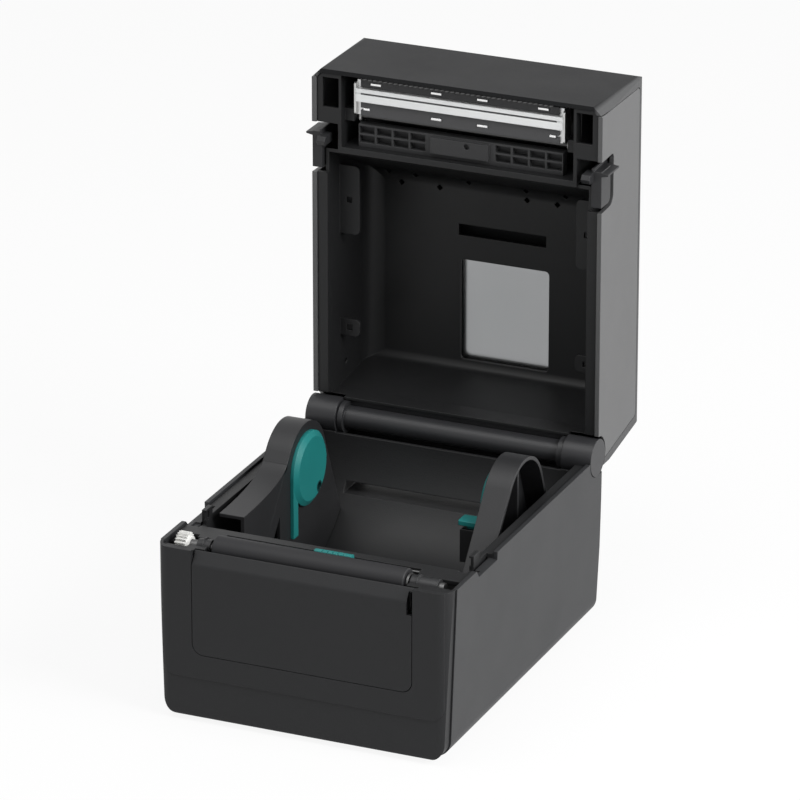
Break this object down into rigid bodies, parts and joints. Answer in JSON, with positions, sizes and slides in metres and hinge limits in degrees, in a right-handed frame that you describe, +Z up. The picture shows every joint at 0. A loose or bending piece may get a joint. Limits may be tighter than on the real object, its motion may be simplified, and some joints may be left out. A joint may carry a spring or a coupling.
{
  "type": "thermal label printer",
  "caption": "Desktop thermal label printer with its lid open: roll bay with sliding guides, platen, hinged lid with print head, latch levers and window",
  "frame": {"origin": "on the table, under the middle of the open printer's bounding box", "axes": "+X to the right seen from the front, +Y to the rear, +Z up; the front door faces -Y"},
  "size_m": [0.177, 0.27, 0.3],
  "materials": {
    "case_plastic": "fine grain, dark grey",
    "front_plastic": "fine grain, near black",
    "cover_plastic": "fine grain, dark grey",
    "bay_plastic": "fine grain, near black",
    "hinge_plastic": "smooth, dark grey",
    "guide_plastic": "smooth, dark grey",
    "touch_plastic": "smooth, teal",
    "gear_plastic": "natural white",
    "platen_rubber": "ground smooth",
    "foot_rubber": "matt",
    "steel": "bright",
    "head_metal": "extruded",
    "strip_glaze": "glazed ceramic",
    "head_plastic": "smooth, dark grey",
    "window_clear": "smoked",
    "board_green": "coated board",
    "socket_metal": "tinned",
    "socket_black": "smooth",
    "button_plastic": "smooth, grey",
    "lens_clear": "clear"
  },
  "bodies": {
    "base": {"lower_case": "case_plastic", "front_bezel": "front_plastic", "front_door": "front_plastic", "bottom_plate": "front_plastic", "bottom_screws": "steel", "rubber_feet": "foot_rubber", "media_bay": "bay_plastic", "platen_bush_left": "guide_plastic", "platen_bush_right": "guide_plastic", "motor_bracket": "steel", "drive_motor": "steel", "idler_stud": "steel", "sensor_rail": "steel", "rack_tray": "bay_plastic", "main_board": "board_green", "data_socket": "socket_metal", "network_socket": "socket_metal", "power_inlet": "socket_black", "power_switch": "socket_black", "hinge_knuckle_left": "hinge_plastic", "hinge_knuckle_right": "hinge_plastic", "hinge_pin": "steel"},
    "platen": {"platen_shaft": "steel", "platen_roller": "platen_rubber", "platen_gear": "gear_plastic", "platen_clip": "steel"},
    "idler": {"idler_gear": "gear_plastic"},
    "motor_pinion": {"motor_pinion": "gear_plastic"},
    "left_guide": {"roll_guide_left": "guide_plastic", "hub_left": "touch_plastic", "rack_left": "gear_plastic"},
    "right_guide": {"roll_guide_right": "guide_plastic", "hub_right": "touch_plastic", "rack_right": "gear_plastic", "lock_housing": "guide_plastic"},
    "guide_lock": {"guide_lock": "touch_plastic"},
    "rack_pinion": {"rack_pinion": "gear_plastic"},
    "sensor": {"media_sensor": "touch_plastic"},
    "rocker": {"power_rocker": "socket_black"},
    "lid": {"lid_cover": "cover_plastic", "lid_side_left": "case_plastic", "lid_side_right": "case_plastic", "lid_liner": "bay_plastic", "lid_window": "window_clear", "hinge_leaf": "hinge_plastic", "comb_panel": "bay_plastic", "tear_bar": "steel", "status_lens": "lens_clear", "panel_board": "board_green", "head_pin": "steel", "head_springs": "steel"},
    "head": {"print_head": "head_metal", "thermal_strip": "strip_glaze", "head_front_cover": "head_plastic", "head_rear_cover": "head_plastic", "head_bracket": "steel"},
    "latch": {"latch_lever_left": "guide_plastic", "latch_lever_right": "guide_plastic", "latch_shaft": "steel"},
    "button": {"feed_button": "button_plastic"}
  },
  "joints": [
    {"name": "lid_hinge", "type": "hinge", "parent": "base", "child": "lid", "pos_m": [0, 0.069, 0.099], "axis": [1, 0, 0], "range_deg": [0, 90]},
    {"name": "platen_spin", "type": "hinge", "parent": "base", "child": "platen", "pos_m": [0, -0.1185, 0.095], "axis": [1, 0, 0], "continuous": true},
    {"name": "idler_spin", "type": "hinge", "parent": "base", "child": "idler", "pos_m": [-0.07425, -0.11445, 0.07746], "axis": [1, 0, 0], "continuous": true},
    {"name": "motor_spin", "type": "hinge", "parent": "base", "child": "motor_pinion", "pos_m": [-0.07425, -0.10168, 0.06749], "axis": [1, 0, 0], "continuous": true},
    {"name": "left_guide_slide", "type": "slide", "parent": "base", "child": "left_guide", "axis": [1, 0, 0], "range_m": [-0.002, 0.042]},
    {"name": "right_guide_slide", "type": "slide", "parent": "base", "child": "right_guide", "axis": [-1, 0, 0], "range_m": [-0.002, 0.042]},
    {"name": "rack_pinion_spin", "type": "hinge", "parent": "base", "child": "rack_pinion", "pos_m": [0, -0.002, 0.0225], "axis": [0, 0, 1], "range_deg": [-301, 15]},
    {"name": "guide_lock_press", "type": "slide", "parent": "right_guide", "child": "guide_lock", "axis": [0, 0, -1], "range_m": [0, 0.002], "stiffness_N_per_m": 300, "springref_m": -0.001},
    {"name": "sensor_slide", "type": "slide", "parent": "base", "child": "sensor", "axis": [1, 0, 0], "range_m": [-0.052, 0.038]},
    {"name": "rocker_tilt", "type": "hinge", "parent": "base", "child": "rocker", "pos_m": [0.058, 0.07522, 0.03], "axis": [1, 0, 0], "range_deg": [-16, 0]},
    {"name": "head_float", "type": "hinge", "parent": "lid", "child": "head", "pos_m": [0, 0.084, 0.271], "axis": [1, 0, 0], "range_deg": [-3, 0], "stiffness_Nm_per_rad": 2, "springref_deg": 5.73, "deforming": ["head_springs"]},
    {"name": "latch_pivot", "type": "hinge", "parent": "lid", "child": "latch", "pos_m": [0, 0.101, 0.26], "axis": [1, 0, 0], "range_deg": [-7, 0], "stiffness_Nm_per_rad": 0.3, "springref_deg": 6.88},
    {"name": "feed_button_press", "type": "slide", "parent": "lid", "child": "button", "axis": [0, -1, 0], "range_m": [0, 0.0012], "stiffness_N_per_m": 800, "springref_m": -0.0005}
  ],
  "couplings": [
    {"joint": "idler_spin", "follows": "platen_spin", "ratio": -0.5},
    {"joint": "motor_spin", "follows": "platen_spin", "ratio": 1.4286},
    {"joint": "right_guide_slide", "follows": "left_guide_slide", "ratio": 1},
    {"joint": "rack_pinion_spin", "follows": "left_guide_slide", "rad_per_m": -125}
  ]
}
